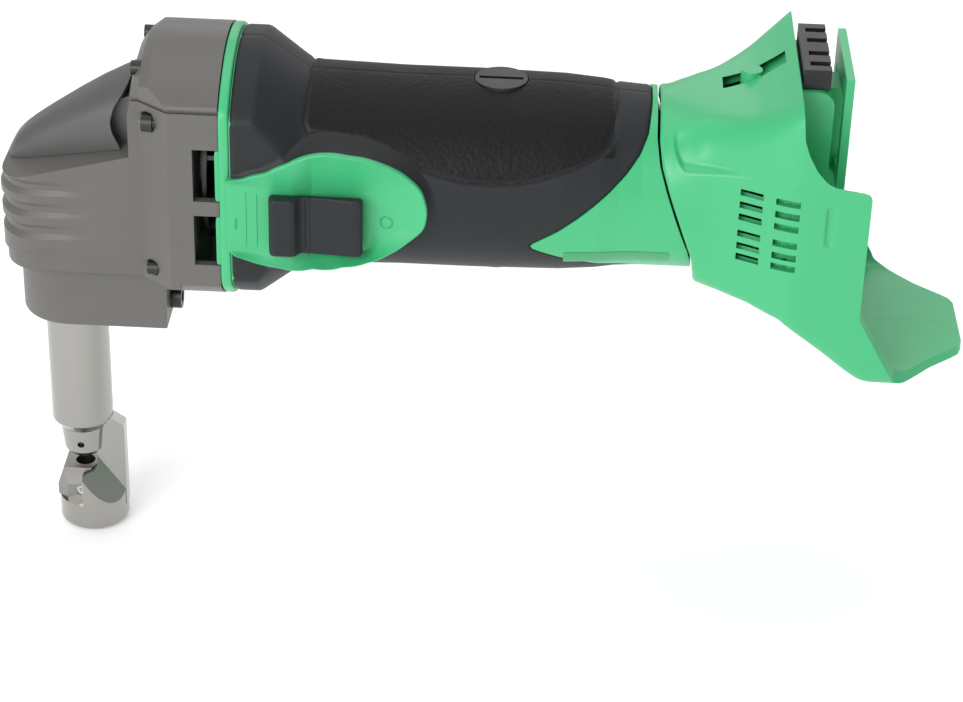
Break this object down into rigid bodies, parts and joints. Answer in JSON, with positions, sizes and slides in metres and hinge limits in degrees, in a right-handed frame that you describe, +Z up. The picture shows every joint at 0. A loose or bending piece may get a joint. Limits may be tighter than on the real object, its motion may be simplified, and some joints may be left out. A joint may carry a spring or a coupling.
{
  "type": "cordless nibbler",
  "caption": "Cordless sheet-metal nibbler: barrel grip with slide switch, cranked ram head, swivelling die holder with punch and die, open battery bay.",
  "frame": {"origin": "cutting point: on the punch axis at the top face of the die", "axes": "+X along the barrel from the nose to the battery end, +Z up along the punch axis towards the head, +Y to the side away from the slide switch"},
  "size_m": [0.3129, 0.084, 0.188],
  "materials": {
    "case_grey": "satin powder coat on cast alloy",
    "cover_grey": "satin dark grey moulded cover",
    "rubber_black": "pebbled soft grip",
    "green_plastic": "fine spark texture",
    "knob_black": "satin",
    "black_plastic": "moulded",
    "plated_steel": "polished nickel-plated steel",
    "tool_steel": "ground tool steel",
    "screw_steel": "zinc plated",
    "bearing_steel": "ground",
    "bronze": "sintered bronze",
    "brass_parts": "bright brass",
    "alloy_plate": "as cast",
    "ferrite": "sintered magnet",
    "copper": "enamelled copper",
    "carbon": "pressed carbon",
    "spring_steel": "spring wire",
    "board_green": "laminate with moulded parts"
  },
  "bodies": {
    "housing": {"gear_case": "case_grey", "holder_block": "case_grey", "nose_cover": "cover_grey", "grip_overmold": "rubber_black", "front_bezel": "green_plastic", "motor_housing": "green_plastic", "battery_mount": "green_plastic", "battery_rail": "green_plastic", "tail_shell_left": "green_plastic", "tail_shell_right": "green_plastic", "switch_unit": "black_plastic", "terminal_block": "black_plastic", "brush_caps": "black_plastic", "head_screws": "screw_steel", "top_plugs": "screw_steel", "holder_lock_bolts": "screw_steel", "tail_screws": "screw_steel", "crank_bearing_front_ring": "bearing_steel", "crank_bearing_rear_ring": "bearing_steel", "rotor_bearing_front_ring": "bearing_steel", "rotor_bearing_rear_ring": "bearing_steel", "motor_can": "bearing_steel", "brush_holders": "brass_parts", "terminal_blades": "brass_parts", "bearing_plate": "alloy_plate", "motor_magnets": "ferrite", "carbon_brushes": "carbon", "brush_springs": "spring_steel", "control_board": "board_green"},
    "switch": {"switch_knob": "knob_black", "switch_link": "black_plastic"},
    "crank": {"crank_shaft": "tool_steel", "crank_roller": "tool_steel", "drive_gear": "tool_steel", "crank_bearing_front_balls": "bearing_steel", "crank_bearing_rear_balls": "bearing_steel"},
    "rotor": {"armature_shaft": "tool_steel", "armature_core": "bearing_steel", "windings": "copper", "commutator": "copper", "motor_pinion": "tool_steel", "cooling_fan": "black_plastic", "rotor_bearing_front_balls": "bearing_steel", "rotor_bearing_rear_balls": "bearing_steel"},
    "ram_body": {"ram": "tool_steel", "punch": "tool_steel", "punch_screw": "screw_steel"},
    "swivel": {"die_holder": "plated_steel", "ram_bush": "bronze", "die": "tool_steel", "die_screws": "screw_steel"}
  },
  "joints": [
    {"name": "switch_slide", "type": "slide", "parent": "housing", "child": "switch", "axis": [-1, 0, 0], "range_m": [0, 0.006]},
    {"name": "crank_spin", "type": "hinge", "parent": "housing", "child": "crank", "pos_m": [0.03, 0, 0.1022], "axis": [1, 0, 0], "continuous": true},
    {"name": "rotor_spin", "type": "hinge", "parent": "housing", "child": "rotor", "pos_m": [0.1, 0, 0.119], "axis": [1, 0, 0], "continuous": true},
    {"name": "ram_slide", "type": "slide", "parent": "housing", "child": "ram_body", "axis": [0, 0, 1], "range_m": [-0.006, 0]},
    {"name": "die_holder_swivel", "type": "hinge", "parent": "housing", "child": "swivel", "pos_m": [0, 0, 0.069], "axis": [0, 0, 1], "range_deg": [-180, 180]}
  ],
  "couplings": [
    {"joint": "crank_spin", "follows": "rotor_spin", "ratio": -0.2}
  ]
}
